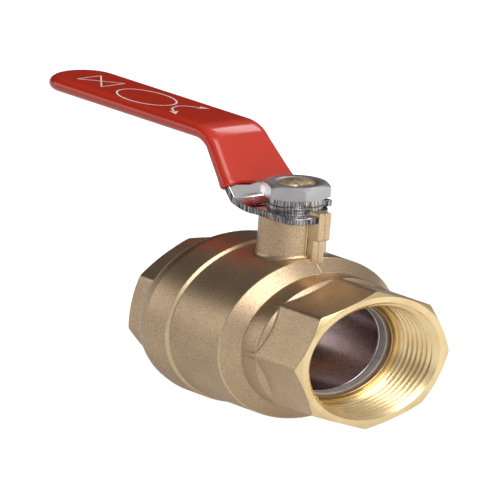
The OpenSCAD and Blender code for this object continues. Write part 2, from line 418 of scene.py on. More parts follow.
def step_highlight_brass():
    """Lighter, smoother brass for the corners of the barrel's steps: a painted highlight for the bright
    line along them.
    """
    m, nt, b = new_material("step_highlight_brass")
    mottle = noise(nt, coords(nt), 2500, 3, 0.6)
    tone = ramp(nt, mottle, [(0.36, (0.68, 0.52, 0.32)), (0.62, (0.90, 0.73, 0.46))])
    nt.links.new(tone, b.inputs["Base Color"])
    nt.links.new(spread(nt, mottle, 0.46, 0.34), b.inputs["Roughness"])
    b.inputs["Metallic"].default_value = 1.0
    bump(nt, b, [(mottle, 0.2, 0.00004)])
    return m


def scuffed_brass():
    """Stem brass: scuffed, with coarse bright and dull patches."""
    m, nt, b = new_material("turned_stem")
    v = coords(nt)
    scuff = noise(nt, v, 700, 4, 0.7)
    fine = noise(nt, v, 2600, 2, 0.6)
    tone = ramp(nt, scuff, [(0.36, (0.62, 0.44, 0.22)), (0.6, (0.95, 0.80, 0.52))])
    nt.links.new(tone, b.inputs["Base Color"])
    nt.links.new(spread(nt, scuff, 0.36, 0.52), b.inputs["Roughness"])
    b.inputs["Metallic"].default_value = 1.0
    bump(nt, b, [(scuff, 0.4, 0.0002), (fine, 0.2, 0.00004)])
    return m


def plated_steel(name, tone, rough, streak=(1, 1, 1), strength=0.1):
    """Bright plated steel with faint streaks along one way."""
    m, nt, b = new_material(name)
    marks = noise(nt, coords(nt, streak), 900, 3, 0.6)
    cloud = noise(nt, coords(nt), 160, 3, 0.5)
    low = tuple(0.86 * c for c in tone)
    nt.links.new(ramp(nt, cloud, [(0.3, low), (0.7, tone)]), b.inputs["Base Color"])
    nt.links.new(spread(nt, marks, rough * 0.75, rough * 1.35), b.inputs["Roughness"])
    b.inputs["Metallic"].default_value = 1.0
    bump(nt, b, [(marks, strength, 0.00005)])
    return m


def sheared_edge(name, dark, bright):
    """Stamped steel edges: dark and bright shear lines running down them."""
    m, nt, b = new_material(name)
    marks = noise(nt, coords(nt, (1, 1, 0.08)), 2100, 2, 0.6)
    tone = ramp(nt, marks, [(0.43, dark), (0.66, bright)])
    nt.links.new(tone, b.inputs["Base Color"])
    nt.links.new(spread(nt, marks, 0.45, 0.22), b.inputs["Roughness"])
    b.inputs["Metallic"].default_value = 1.0
    bump(nt, b, [(marks, 0.5, 0.0001)])
    return m


def dipped_vinyl():
    """Glossy red dipped coat with a soft orange peel."""
    m, nt, b = new_material("dipped_vinyl")
    v = coords(nt)
    peel = noise(nt, v, 260, 2, 0.5)
    cloud = noise(nt, v, 45, 3, 0.5)
    fine = noise(nt, v, 2200, 2, 0.5)
    tone = ramp(nt, cloud, [(0.3, (0.54, 0.026, 0.008)), (0.7, (0.63, 0.033, 0.010))])
    nt.links.new(tone, b.inputs["Base Color"])
    nt.links.new(spread(nt, fine, 0.15, 0.22), b.inputs["Roughness"])
    b.inputs["Specular IOR Level"].default_value = 0.55
    b.inputs["Coat Weight"].default_value = 0.35
    b.inputs["Coat Roughness"].default_value = 0.06
    b.inputs["Subsurface Weight"].default_value = 0.05
    b.inputs["Subsurface Scale"].default_value = 0.002
    b.inputs["Subsurface Radius"].default_value = (1.0, 0.25, 0.1)
    bump(nt, b, [(peel, 0.04, 0.0004), (fine, 0.006, 0.00002)])
    return m


def plain_polymer(name, low, high, rough):
    """Seal and packing materials: a mottled tone with a fine grain."""
    m, nt, b = new_material(name)
    v = coords(nt)
    cloud = noise(nt, v, 240, 4, 0.6)
    fine = noise(nt, v, 1800, 2, 0.5)
    nt.links.new(ramp(nt, cloud, [(0.3, low), (0.7, high)]), b.inputs["Base Color"])
    nt.links.new(spread(nt, fine, rough * 0.8, rough * 1.2), b.inputs["Roughness"])
    bump(nt, b, [(fine, 0.1, 0.00005)])
    return m


def print_ink():
    """Faded white pad print with worn patches."""
    m, nt, b = new_material("print_ink")
    v = coords(nt)
    worn = noise(nt, v, 900, 3, 0.7)
    tone = ramp(nt, worn, [(0.3, (0.70, 0.40, 0.34)), (0.42, (0.98, 0.88, 0.82))])
    nt.links.new(tone, b.inputs["Base Color"])
    nt.links.new(spread(nt, worn, 0.5, 0.35), b.inputs["Roughness"])
    return m


FORGED = forged_brass()
MACHINED = machined_brass()
STEP_HIGHLIGHT_BRASS = step_highlight_brass()
SCUFFED = scuffed_brass()
CHROME = plated_steel("plated_steel", (0.78, 0.77, 0.76), 0.10, (1, 1, 1), 0.06)
# painted reflection and shade: the ball's plate is toned dark brownish purple for the brass it mirrors
# and its dark bore
BALL_PAINTED_REFLECTION = plated_steel("plated_ball", (0.50, 0.38, 0.39), 0.24, (1, 6, 6), 0.1)
ZINC = plated_steel("zinc_steel", (0.60, 0.58, 0.59), 0.42, (5, 5, 0.35), 0.25)
EDGE = sheared_edge("sheared_edge", (0.05, 0.04, 0.045), (0.60, 0.57, 0.59))
STREAKED = sheared_edge("streaked_washer", (0.16, 0.145, 0.15), (0.82, 0.79, 0.79))
VINYL = dipped_vinyl()
# painted shade: PTFE_SHADED is white, toned grey here for the seats deep in the ports
PTFE_SHADED = plain_polymer("white_ptfe", (0.40, 0.38, 0.37), (0.52, 0.50, 0.49), 0.42)
RUBBER = plain_polymer("black_rubber", (0.012, 0.012, 0.012), (0.03, 0.03, 0.03), 0.55)
INK = print_ink()


# ---- brass shells about the port axis ----


def around(seams=()):
    """Angles about the port, closer together round the seams."""
    angles = {round(a, 6) for a in even_angles(360)}
    mean_r = 31
    for seam in seams:
        for gap in (0.1, 0.2, 0.32, 0.46):
            for side in (-1, 1):
                angles.add(round((seam + side * gap / mean_r) % (2 * math.pi), 6))
    return sorted(angles)


def polygon_r(angle, sides, apothem, turn, sharpness):
    """Radius of an even polygon with slightly rounded corners, one of them at angle = turn."""
    total = 0.0
    for k in range(sides):
        c = math.cos(angle - turn - math.pi / sides - k * math.pi / (sides / 2))
        if c > 0:
            total += c**sharpness
    return apothem / total ** (1 / sharpness)


def soft_max(a, b, blend):
    """The larger of two radii, with the corner between them rounded over blend."""
    d = max(blend - abs(a - b), 0.0) / blend
    return max(a, b) + d * d * blend / 4


def soft_min(a, b, blend):
    """The smaller of two radii, rounded over blend in the same way."""
    return -soft_max(-a, -b, blend)


def thread_r(x, angle):
    """Radius of the female thread flank at x, before its taper."""
    phase = ((x - PITCH * angle / (2 * math.pi)) / PITCH) % 1.0
    tri = abs(2 * phase - 1)
    depth = min(1.0, max(0.0, (tri - 0.08) / 0.84))
    return CREST_R + (ROOT_R - CREST_R) * depth


def add_bore(bm, face, angles, sign=1):
    """Threaded end bore as a sheared grid whose columns follow the helix. Returns its deepest ring."""
    per_turn = 10
    taper = 1 / 32
    run_out = 0.45
    count = int((face - THREAD_END) / PITCH * per_turn) + 2 * per_turn + 1
    verts = []
    for j in range(count):
        column = []
        for a in angles:
            x = face + PITCH - j * PITCH / per_turn + PITCH * (a / (2 * math.pi) - 0.5)
            if x >= face:
                x, r = face, MOUTH_R
            else:
                x = max(THREAD_END, x)
                deep = x - THREAD_END
                r = min(thread_r(x, a) + deep * taper, CREST_R - run_out + deep * 0.9)
                r = max(r, MOUTH_R - (face - x) * 1.25)
            column.append(bm.verts.new(point(sign * x, r, a)))
        verts.append(column)
    last = len(angles) - 1
    for j in range(count - 1):
        for i in range(last):
            quad = (verts[j][i], verts[j][i + 1], verts[j + 1][i + 1], verts[j + 1][i])
            bm.faces.new(quad).material_index = TURNED
        # the seam joins the same turn of the thread, one pitch further up
        up, down = max(0, j - per_turn), max(0, j + 1 - per_turn)
        quad = (verts[j][last], verts[up][0], verts[down][0], verts[j + 1][last])
        if len(set(quad)) > 2:
            bm.faces.new(tuple(dict.fromkeys(quad))).material_index = TURNED
    return [v.co.copy() for v in verts[-1]]


def bore_metal_and_shade(i):
    """The port wall between thread and seat gets the darker cast brass as painted shade for that deep
    ring, the rest is turned.
    """
    # rows 3 and 4 are the deep port wall, darkened as painted shade
    return CAST if i in (3, 4) else TURNED


def seam_ridge(x, angle):
    """Height of the forging flash along the top and bottom of the body."""
    if not SEAM_FROM < x < SEAM_TO:
        return 0.0
    height, width, mean_r = 0.14, 0.26, 30
    gap = min(angle, 2 * math.pi - angle, abs(angle - math.pi)) * mean_r
    return height * math.exp(-((gap / width) ** 2))


def chamfer_cone(x_face, x):
    """Radius of the turned chamfer on the corners of a wrench end."""
    return APOTHEM / math.cos(math.pi / 8) - 2.3 + (x_face - x) * 1.69


def wrench_rows(x_from, x_face, turn, angles, shoulder):
    """Rows over an octagonal end, shoulder(x) being the round part it grows out of."""
    blend_run, chamfer_run = 3.6, 2.0
    plain_run = x_face - chamfer_run - x_from - blend_run
    stations = [x_from + 0.2 * k for k in range(18)]
    stations += [x_from + blend_run + plain_run * k / 10 for k in range(10)]
    stations += [x_face - chamfer_run + 0.1 * k for k in range(20)] + [x_face - 0.04, x_face]
    rows = []
    for x in stations:
        row = []
        for a in angles:
            r = polygon_r(a, 8, APOTHEM, turn, 110)
            if shoulder(x) > 20:
                r = soft_max(r, shoulder(x), 0.35)
            row.append((x, soft_min(r, chamfer_cone(x_face, x), 0.16), a))
        rows.append(row)
    return rows


def paint_machined(bm, x_face):
    """Gives the turned chamfer and face of a wrench end the machined finish."""
    chamfer = 1.9
    sign = 1 if x_face > 0 else -1
    bm.normal_update()
    for f in bm.faces:
        x = f.calc_center_median().x * sign
        if x > abs(x_face) - chamfer and abs(f.normal.x) > 0.35:
            f.material_index = TURNED


def in_step_highlight(x):
    """True in the narrow bands round the barrel's two steps, which get the painted highlight."""
    rear = REAR_STEP_X - 0.1 < x < REAR_STEP_X + 0.55
    front = FRONT_STEP_X - 0.65 < x < FRONT_STEP_X + 0.6
    return rear or front


def make_body():
    seams = (0.0, math.pi)
    angles = around(seams)
    profile = fillet_line(
        [
            (BODY_LOW.x, RIM_R - 1.6, 0),
            (-27.6, RIM_R - 0.75, 1.2),
            (-24.6, RIM_R, 3.0),
            (REAR_STEP_X, RIM_R, 0.35),
            (REAR_STEP_X + 1.0, RIM_R - 1.0, 0.5),
            (FRONT_STEP_X, BARREL_R, 0.9),
            (16.6, WAIST_R + 0.05, 0.7),
            (23.4, WAIST_R, 0),
        ],
        5,
    )
    rows = [[point(x, r + seam_ridge(x, a), a) for a in angles] for x, r in profile]

    def shoulder(x):
        waist_end = 23.9
        return WAIST_R - max(0.0, x - waist_end) * 1.05

    for row in wrench_rows(23.6, FACE_X, 0.0, angles, shoulder):
        rows.append([point(*p) for p in row])
    cast_rows = len(rows)
    rows.append(port_ring(FACE_X, FACE_R, angles))
    rows.append(port_ring(FACE_X, MOUTH_R, angles))

    def metal(i):
        if i >= cast_rows - 1:
            return TURNED
        # the bands round the steps get lighter brass as a painted highlight
        return STEP_HIGHLIGHT if in_step_highlight((rows[i][0].x + rows[i + 1][0].x) / 2) else CAST

    bm = bmesh.new()
    loop_grid(bm, rows, metal)
    inner = [add_bore(bm, FACE_X, angles)]
    chamber = (
        (16.6, SEAT_R),
        (9.0, CHAMBER_R),
        (-15.6, CHAMBER_R),
        (-16.4, CHAMBER_R + 0.8),
        (BODY_LOW.x + 0.6, CHAMBER_R + 0.8),
        (BODY_LOW.x, CHAMBER_R + 1.3),
        (BODY_LOW.x, RIM_R - 1.6),
    )
    for x, r in PORT_STEPS + chamber:
        inner.append(port_ring(x, r, angles))
    loop_grid(bm, inner, bore_metal_and_shade)
    paint_machined(bm, FACE_X)
    add_neck(bm)
    add_stop_lug(bm)
    metals = [FORGED, MACHINED, STEP_HIGHLIGHT_BRASS]
    return finish_mesh("body_shell", bm, "housing", ["body"], metals, 34)


def make_end_cap():
    angles = around()
    outer = fillet_line(
        [
            (-NOSE_X, NOSE_R, 0),
            (-NOSE_X - 0.8, NOSE_R + 1.0, 0),
            (BODY_LOW.x, NOSE_R + 1.0, 0),
            (BODY_LOW.x, 32.7, 0),
            (-29.9, 32.9, 0.3),
            (-30.9, 32.3, 0.5),
            (-31.6, 31.3, 0.3),
            (-31.7, 28.2, 0),
        ],
        4,
    )
    rows = [port_ring(x, r, angles) for x, r in outer]

    def shoulder(x):
        return 28.4 - (x - 31.7) * 1.6

    for row in wrench_rows(31.8, CAP_X, -CAP_TURN, angles, shoulder):
        rows.append([point(-x, r, a) for x, r, a in row])
    cast_rows = len(rows)
    rows.append(port_ring(-CAP_X, FACE_R, angles))
    rows.append(port_ring(-CAP_X, MOUTH_R, angles))
    bm = bmesh.new()
    loop_grid(bm, rows, lambda i: TURNED if i >= cast_rows - 1 else CAST)
    inner = [add_bore(bm, CAP_X, angles, sign=-1)]
    for x, r in PORT_STEPS + ((NOSE_X, SEAT_R), (NOSE_X, NOSE_R)):
        inner.append(port_ring(-x, r, angles))
    loop_grid(bm, inner, bore_metal_and_shade)
    paint_machined(bm, -CAP_X)
    metals = [FORGED, MACHINED]
    return finish_mesh("end_cap_shell", bm, "housing", ["end_cap"], metals, 34)


# ---- neck, stop lug and stem ----


def barrel_height(rho, angle, lift):
    """Height of the barrel, raised by lift, at a radius and angle about the stem."""
    y = rho * math.sin(angle)
    return math.sqrt(max(0.0, (BARREL_R + lift) ** 2 - y * y))


def add_neck(bm):
    """Stem neck with a fillet that runs out over the barrel."""
    foot, sunk = 1.7, 2.6
    turns = even_angles(128)
    wall = [
        (STEM_BORE_R, 38.0, 0),
        (STEM_BORE_R, NECK_TOP, 0.3),
        (NECK_R, NECK_TOP, 0.5),
        (NECK_R, 46, 0),
    ]
    rows = [level_ring(r, z, turns) for r, z in fillet_line(wall, 4)]
    root = []
    for k in range(9):
        t = math.pi / 2 * k / 8
        root.append((NECK_R + foot * (1 - math.cos(t)), foot * (1 - math.sin(t)) - 0.03))
    root += [(NECK_R + foot + 0.1, -0.8), (NECK_R, -sunk), (STEM_BORE_R, -sunk)]
    for rho, lift in root:
        row = []
        for a in turns:
            row.append(Vector((rho * math.cos(a), rho * math.sin(a), barrel_height(rho, a, lift))))
        rows.append(row)
    loop_grid(bm, rows, closed_rows=True)


def block_outline(x0, x1, half, corner, groove=0.0):
    """Block in plan with round front corners, and a fine parting groove down its front."""
    pts = [(x0, -half)]
    pts += arc(x1 - corner, -half + corner, corner, -90, 0, 5)
    if groove:
        pts += [(x1, -0.2), (x1 - groove, 0.0), (x1, 0.2)]
    pts += arc(x1 - corner, half - corner, corner, 0, 90, 5)
    pts += [(x0, half)]
    return pts


def add_stop_lug(bm):
    """Stop lug, the shelf and rib under it, and the flash beads at their roots."""
    groove = 0.14
    lug = block_outline(10.9, LUG_X, 2.4, 0.5, groove)
    shelf = block_outline(8.6, 14.5, 2.36, 0.4)
    rib = block_outline(8.0, 13.5, 2.2, 0.45, groove)
    rounded_prism(bm, lug, 42.1, BODY_HIGH.z, 0.55)
    rounded_prism(bm, shelf, 42.2, NECK_TOP - 0.05, 0.3)
    rounded_prism(bm, rib, 29.0, 43.0, 0.5)
    for side in (-1, 1):
        bead = []
        for t in even_angles(10):
            bead.append((10.45 + 0.32 * math.cos(t), side * 2.55 + 0.3 * math.sin(t)))
        rounded_prism(bm, bead, 31.0, 48.7, 0.1, 2)


def make_stem():
    """Brass stem with a collar, two flats, a rolled thread and a domed tip."""
    pitch, depth = 1.5, 0.55
    dome_r, dome_half = 20.0, 15.5
    turns = even_angles(96)
    top = STEM_HIGH.z
    thread_top = top - 1.7

    def flatted(r, z, a):
        """Point of the upper stem, where its two sides are cut flat."""
        x = max(-STEM_FLAT, min(STEM_FLAT, r * math.cos(a)))
        return Vector((x, r * math.sin(a), z))

    collar = ((7.9, 30.1), (8.4, 30.3), (8.4, 31.9), (8.2, 32.1))
    rows = [level_ring(r, z, turns) for r, z in collar]
    rows += [level_ring(STEM_R, z, turns) for z in (32.1, STEM_FLAT_FROM)]
    rows.append([flatted(STEM_THREAD_R, STEM_FLAT_FROM, a) for a in turns])
    z = 52.0
    while z < thread_top:
        r = STEM_THREAD_R - depth * abs(2 * ((z / pitch) % 1.0) - 1)
        rows.append([flatted(r, min(z + pitch * a / (2 * math.pi), thread_top), a) for a in turns])
        z += pitch / 8
    rows.append([flatted(5.75, top - 1.0, a) for a in turns])
    for k in range(8, 0, -1):
        t = math.radians(dome_half * k / 8)
        height = top + 0.3 - dome_r * (1 - math.cos(t))
        rows.append([flatted(dome_r * math.sin(t), height, a) for a in turns])
    bm = bmesh.new()
    verts = loop_grid(bm, rows)
    bm.faces.new(verts[0])
    bm.faces.new(verts[-1])
    tang = [(-3.9, -7.0), (3.9, -7.0), (3.9, 7.0), (-3.9, 7.0)]
    rounded_prism(bm, tang, STEM_LOW.z, 30.6, 0.5)
    return finish_mesh("stem_spindle", bm, "handle_set", ["stem"], [SCUFFED], 34)


# ---- lever, sleeve, nut and washers ----

BAR_MID = PLATE_Z + PLATE_T / 2
SLOPE = (GRIP_Z - BAR_MID) / math.sin(RISE)
SHOULDER_X = KNEE_X - SLOPE * math.cos(RISE)
SHOULDER_CUT = SHOULDER_R * math.tan(RISE / 2)


def knee_stations(steps=8):
    """A slow rise out of the plate, then a tight bend on to the slope."""
    slow_r, tight_r = 21.7, 3.5
    turn = math.radians(20)
    out = []
    for k in range(steps + 1):
        t = turn * k / steps
        out.append((PLATE_BACK - slow_r * math.sin(t), BAR_MID + slow_r * (1 - math.cos(t)), t))
    x, z, _ = out[-1]
    for k in range(1, steps + 1):
        t = turn + (RISE - turn) * k / steps
        across = tight_r * (math.sin(turn) - math.sin(t))
        out.append((x + across, z + tight_r * (math.cos(turn) - math.cos(t)), t))
    return out


def slope_station(s):
    """Station at a distance s up the slope."""
    return (KNEE_X - s * math.cos(RISE), BAR_MID + s * math.sin(RISE), RISE)


def shoulder_stations(steps=18):
    """The bend from the slope on to the level grip."""
    cx, cz = SHOULDER_X - SHOULDER_CUT, GRIP_Z - SHOULDER_R
    out = []
    for k in range(steps + 1):
        t = RISE * (1 - k / steps)
        out.append((cx + SHOULDER_R * math.sin(t), cz + SHOULDER_R * math.cos(t), t))
    return out


def lay(station, section):
    """Places a section of (y, height) points across the lever at a station."""
    x, z, t = station
    return [Vector((x + h * math.sin(t), y, z + h * math.cos(t))) for y, h in section]


def bar_section(low, high):
    """Flat bar from y = -low to y = high with eased corners."""
    corner = 0.35
    corner_h = PLATE_T / 2 - corner
    pts = arc(high - corner, corner_h, corner, 90, 0, 4)
    pts += arc(high - corner, -corner_h, corner, 0, -90, 4)
    pts += arc(-low + corner, -corner_h, corner, -90, -180, 4)
    pts += arc(-low + corner, corner_h, corner, 180, 90, 4)
    return pts


def wing(x):
    """Edge of the plate's round wing, where it runs out into the bar."""
    return max(KNEE_HALF, WING_Y + math.sqrt(max(0.0, WING_R**2 - (x - WING_X) ** 2)))


def plate_outline():
    """Plate seen from above: round wing at the back, quarter notch at the front."""
    half, stop, notch_r = 11.3, 2.55, 10.2
    pts = [(PLATE_BACK, -KNEE_HALF), (-4.5, -11.8), (-1.0, -half)]
    pts += arc(10.2, -half + 5, 5, -90, 0, 10)
    pts += [(15.2, -stop - 0.3), (14.9, -stop)]
    pts += [(9.9, -stop)]
    pts += arc(0, 0, notch_r, -14.5, 104.5, 24)
    pts += [(-stop, 16.1)]
    pts += arc(WING_X, WING_Y, WING_R, 92, 122, 8)
    pts += [(PLATE_BACK, wing(PLATE_BACK))]
    return pts


def make_lever():
    bm = bmesh.new()
    rounded_prism(bm, plate_outline(), PLATE_Z, PLATE_Z + PLATE_T, 0.35, 3)
    stations = [(PLATE_BACK + 1.5, BAR_MID, 0)] + knee_stations()
    stations += [slope_station(s) for s in (5, 7, 9, 11, 13)]
    verts = loop_grid(bm, [lay(s, bar_section(KNEE_HALF, wing(s[0]))) for s in stations])
    bm.faces.new(verts[0])
    bm.faces.new(verts[-1])
    for f in bm.faces:
        f.normal_update()
        on_plate = f.calc_center_median().z < PLATE_Z + PLATE_T + 0.01
        if abs(f.normal.y) > 0.6 or (on_plate and abs(f.normal.z) < 0.5):
            f.material_index = SHEARED
        else:
            f.material_index = PLATED
    return finish_mesh("lever_plate", bm, "handle_set", ["lever"], [CHROME, EDGE], 40)


def sleeve_section(half, thick):
    """Flat bar with fully rounded edges and a slight crown."""
    r = thick / 2
    w = half - r
    pts = []
    for side in (1, -1):
        for k in range(13):
            y = -w + 2 * w * k / 12
            pts.append((side * y, side * (r + SLEEVE_CROWN * (1 - (y / w) ** 2))))
        for k in range(1, 12):
            a = math.radians(90 * side - 15 * k)
            pts.append((side * w + r * math.cos(a), r * math.sin(a)))
    return pts


def lip_rows():
    """Rows from the rolled lip up the slope. The lip is wider than the grip, with a wavy edge."""
    length = SLOPE - SHOULDER_CUT - LIP_S
    # distance up the slope, extra half width and extra thickness
    roll = (
        (3.2, -1.4, -2.7),
        (0.5, -1.4, -2.7),
        (0.0, -1.1, -1.9),
        (-0.15, -0.7, -0.8),
        (0.1, -0.2, 0.35),
        (0.6, 0.05, 0.85),
        (1.4, 0.12, 0.8),
        (2.6, 0.05, 0.45),
        (4.5, 0.0, 0.2),
        (7.5, 0.0, 0.05),
        (11.0, 0.0, 0.0),
        (length * 0.7, 0.0, 0.0),
    )
    rows = []
    for s, wide, fat in roll:
        half = SLEEVE_HALF + wide + LIP_WIDER * (1 - s / length)
        fade = max(0.0, 1 - s / 4)
        row = []
        for y, h in sleeve_section(half, SLEEVE_T + fat):
            wave = 0.28 * math.sin(y * 0.75 + 1.2) + 0.18 * math.sin(y * 1.9)
            row += lay(slope_station(LIP_S + s + wave * fade), [(y, h)])
        rows.append(row)
    return rows


def make_sleeve():
    bm = bmesh.new()
    section = sleeve_section(SLEEVE_HALF, SLEEVE_T)
    rows = lip_rows()
    rows += [lay(s, section) for s in shoulder_stations()]
    start = SHOULDER_X - SHOULDER_CUT
    for k in range(1, 13):
        rows.append(lay((start + (GRIP_END - start) * k / 12, GRIP_Z, 0), section))
    verts = loop_grid(bm, rows)
    bm.faces.new(verts[0])
    # rounded tip: half the section, from the middle of the top to the middle of the underside
    half_section = section[6:31]
    tip = []
    for k in range(33):
        b = math.pi * k / 32
        row = []
        for y, h in half_section:
            row.append(Vector((GRIP_END - y * math.sin(b), y * math.cos(b), GRIP_Z + h)))
        tip.append(row)
    loop_grid(bm, tip, closed_cols=False)
    return finish_mesh("grip_sleeve", bm, "handle_set", ["lever_sleeve"], [VINYL], 60)


def make_nut():
    """Hexagon nut, chamfered on both faces, with a countersunk plain bore."""
    apothem, bore_r = 9.5, 5.95
    turn = math.radians(40)
    z0, z1 = NUT_LOW.z, NUT_HIGH.z
    angles = even_angles(180)
    countersink = ((bore_r, z1 - 0.9), (bore_r + 0.85, z1 - 0.05), (bore_r + 0.95, z1))
    rows = [level_ring(r, z, angles) for r, z in countersink]
    heights = [z1] + [z1 - 0.08 * k for k in range(1, 14)]
    heights += [z1 - 1.04 - k * (z1 - z0 - 1.9) / 6 for k in range(1, 7)]
    heights += [z0 + 0.8 - 0.1 * k for k in range(9)]
    for z in heights:
        row = []
        for a in angles:
            r = polygon_r(a, 6, apothem, turn, 160)
            r = soft_min(r, apothem - 0.35 + (z1 - z) * 1.75, 0.12)
            r = soft_min(r, apothem - 0.2 + (z - z0) * 2.2, 0.12)
            row.append(Vector((r * math.cos(a), r * math.sin(a), z)))
        rows.append(row)
    rows.append(level_ring(bore_r, z0, angles))
    bm = bmesh.new()
    loop_grid(bm, rows, closed_rows=True)
    return finish_mesh("lever_nut_hex", bm, "handle_set", ["lever_nut"], [ZINC], 32)


def washer_profile(r1, z0, z1, corners):
    """Section of a washer from its hole to r1, with its four corners rounded."""
    low_out, high_out, high_in, low_in = corners
    start = (7, z0, 0)
    return fillet_line(
        [start, (r1, z0, low_out), (r1, z1, high_out), (6.0, z1, high_in), (6.0, z0, low_in), start], 4
    )


def make_flat_washer():
    bm = bmesh.new()
    profile = washer_profile(WASHER_HIGH.x, WASHER_LOW.z, WASHER_HIGH.z, (0.3, 0.55, 0.3, 0.3))
    loop_grid(bm, [level_ring(r, z, even_angles(120)) for r, z in profile])
    return finish_mesh("washer_flat", bm, "handle_set", ["flat_washer"], [STREAKED], 50)


def make_lock_washer():
    """Split spring washer: a square wire turned once, with a small step at the split."""
    bm = bmesh.new()
    steps, split, turn, step_up = 120, 122, 352, 0.18
    section = washer_profile(LOCK_HIGH.x, LOCK_LOW.z, LOCK_HIGH.z, (0.35, 0.35, 0.25, 0.25))[:-1]
    rows = []
    for k in range(steps + 1):
        a = math.radians(split + turn * k / steps)
        lift = step_up * (k / steps - 0.5)
        rows.append([Vector((r * math.cos(a), r * math.sin(a), z + lift)) for r, z in section])
    verts = loop_grid(bm, rows)
    bm.faces.new(verts[0])
    bm.faces.new(verts[-1])
    return finish_mesh("washer_lock", bm, "handle_set", ["lock_washer"], [STREAKED], 50)


def make_ball_rim(name, x):
    """Polished rounded rim where the ball's port meets its sphere."""
    bead, rim_r = 0.35, 19.1
    tube = even_angles(12)
    rows = []
    for a in even_angles(160):
        rows.append([point(x + bead * math.cos(t), rim_r + bead * math.sin(t), a) for t in tube])
    bm = bmesh.new()
    loop_grid(bm, rows, closed_rows=True)
    return finish_mesh(name, bm, "ball", [], [CHROME], 60)


# ---- generic print on the grip ----


def ribbon(bm, points, width):
    """Flat ribbon of even width along points."""
    left, right = [], []
    n = len(points)
    for i in range(n):
        a, b = Vector(points[max(0, i - 1)]), Vector(points[min(n - 1, i + 1)])
        d = (b - a).normalized()
        side = Vector((-d.y, d.x)) * width / 2
        p = Vector(points[i])
        left.append(Vector((*(p + side), 0)))
        right.append(Vector((*(p - side), 0)))
    loop_grid(bm, [left, right], closed_cols=False)


def arrow_head(bm, tip, back, half):
    tip, back = Vector(tip), Vector(back)
    d = (tip - back).normalized()
    side = Vector((-d.y, d.x)) * half
    corners = (tip, back + side, back + d * half * 0.4, back - side)
    bm.faces.new([bm.verts.new((*p, 0)) for p in corners])


def grip_top(y):
    """Height of the sleeve's crowned top at y."""
    w = SLEEVE_HALF - SLEEVE_T / 2
    return GRIP_Z + SLEEVE_T / 2 + SLEEVE_CROWN * (1 - (y / w) ** 2)


def add_swing_arrow(bm):
    """Double-headed arrow for the way the lever swings."""
    swing = [
        (-56.5, -5.6),
        (-59.2, -4.4),
        (-60.9, -2.4),
        (-61.4, -0.2),
        (-60.6, 1.6),
        (-59.0, 2.9),
        (-57.0, 4.2),
    ]
    ribbon(bm, swing, 0.6)
    arrow_head(bm, (-52.8, -7.6), swing[0], 1.4)
    arrow_head(bm, (-53.8, 6.1), swing[-1], 1.4)


def add_oval(bm):
    cx, cy, length, width = -76.2, -1.5, 12.6, 6.9
    turns = [math.pi * k / 40 for k in range(81)]
    ribbon(bm, [(cx + length * math.cos(t), cy + width * math.sin(t)) for t in turns], 0.6)


def add_valve_sign(bm):
    """Schematic valve: two triangles tip to tip, in short steps that follow the crowned sleeve."""
    cx, cy, w, h = -101.5, -0.5, 6.4, 4.6
    rear_low, rear_high = (cx - w, cy - h), (cx - w, cy + h)
    front_low, front_high = (cx + w, cy - h), (cx + w, cy + h)
    corners = [rear_low, rear_high, front_low, front_high, rear_low]
    for (x0, y0), (x1, y1) in zip(corners, corners[1:]):
        ribbon(bm, [(x0 + (x1 - x0) * k / 12, y0 + (y1 - y0) * k / 12) for k in range(13)], 0.5)


def make_print():
    """Plain print on the grip, laid just above the sleeve."""
    bm = bmesh.new()
    add_swing_arrow(bm)
    add_oval(bm)
    add_valve_sign(bm)
    for v in bm.verts:
        v.co.z = grip_top(v.co.y) + 0.03
    return finish_mesh("grip_print", bm, "handle_set", [], [INK], 60)


# ---- carried-over CAD pieces ----


def dress(names, material):
    """Gives carried-over CAD pieces one material."""
    for name in names:
        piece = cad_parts[name]
        piece.data.materials.clear()
        piece.data.materials.append(material)


# ---- camera, light and floor, in metres ----

AZIMUTH, ELEVATION, ROLL = map(math.radians, (37.87, 17.48, 3.47))
DISTANCE = 4.826
AIM = Vector((-0.0201, 0.0, 0.0282))
LENS = 854.0
STRETCH = 4 / 3
LIGHT_AIM = Vector((0, 0, 0.01))


def make_camera():
    """The picture to match is a third wider than life. The camera's own X axis leans out of its
    picture plane by the angle whose cosine is 3/4, which widens the picture and leaves the model true."""
    data = bpy.data.cameras.new("camera")
    data.sensor_width = 36
    data.lens = LENS
    data.clip_start, data.clip_end = 0.05, 60
    level_part = math.cos(ELEVATION)
    back = Vector((math.cos(AZIMUTH) * level_part, -math.sin(AZIMUTH) * level_part, math.sin(ELEVATION)))
    level = Vector((math.sin(AZIMUTH), math.cos(AZIMUTH), 0))
    upright = back.cross(level)
    right = level * math.cos(ROLL) + upright * math.sin(ROLL)
    up = upright * math.cos(ROLL) - level * math.sin(ROLL)
    lean = math.acos(1 / STRETCH)
    across = right * math.cos(lean) - back * math.sin(lean)
    axes = Matrix((across, up, back)).transposed().to_4x4()
    cam = bpy.data.objects.new("camera", data)
    stand = bpy.data.objects.new("camera_stand", None)
    for o in (cam, stand):
        bpy.context.scene.collection.objects.link(o)
    cam.parent = stand
    cam.matrix_parent_inverse = Matrix.Translation(AIM + back * DISTANCE) @ axes
    bpy.context.scene.camera = cam


def area_light(name, toward, distance, size, power):
    """Soft box on the given side of the object, facing it."""
    data = bpy.data.lights.new(name, "AREA")
    data.shape = "RECTANGLE"
    data.size, data.size_y = size
    data.energy = power
    o = bpy.data.objects.new(name, data)
    o.location = LIGHT_AIM + Vector(toward).normalized() * distance
    o.rotation_mode = "QUATERNION"
    o.rotation_quaternion = Vector(toward).to_track_quat("Z", "Y")
    bpy.context.scene.collection.objects.link(o)


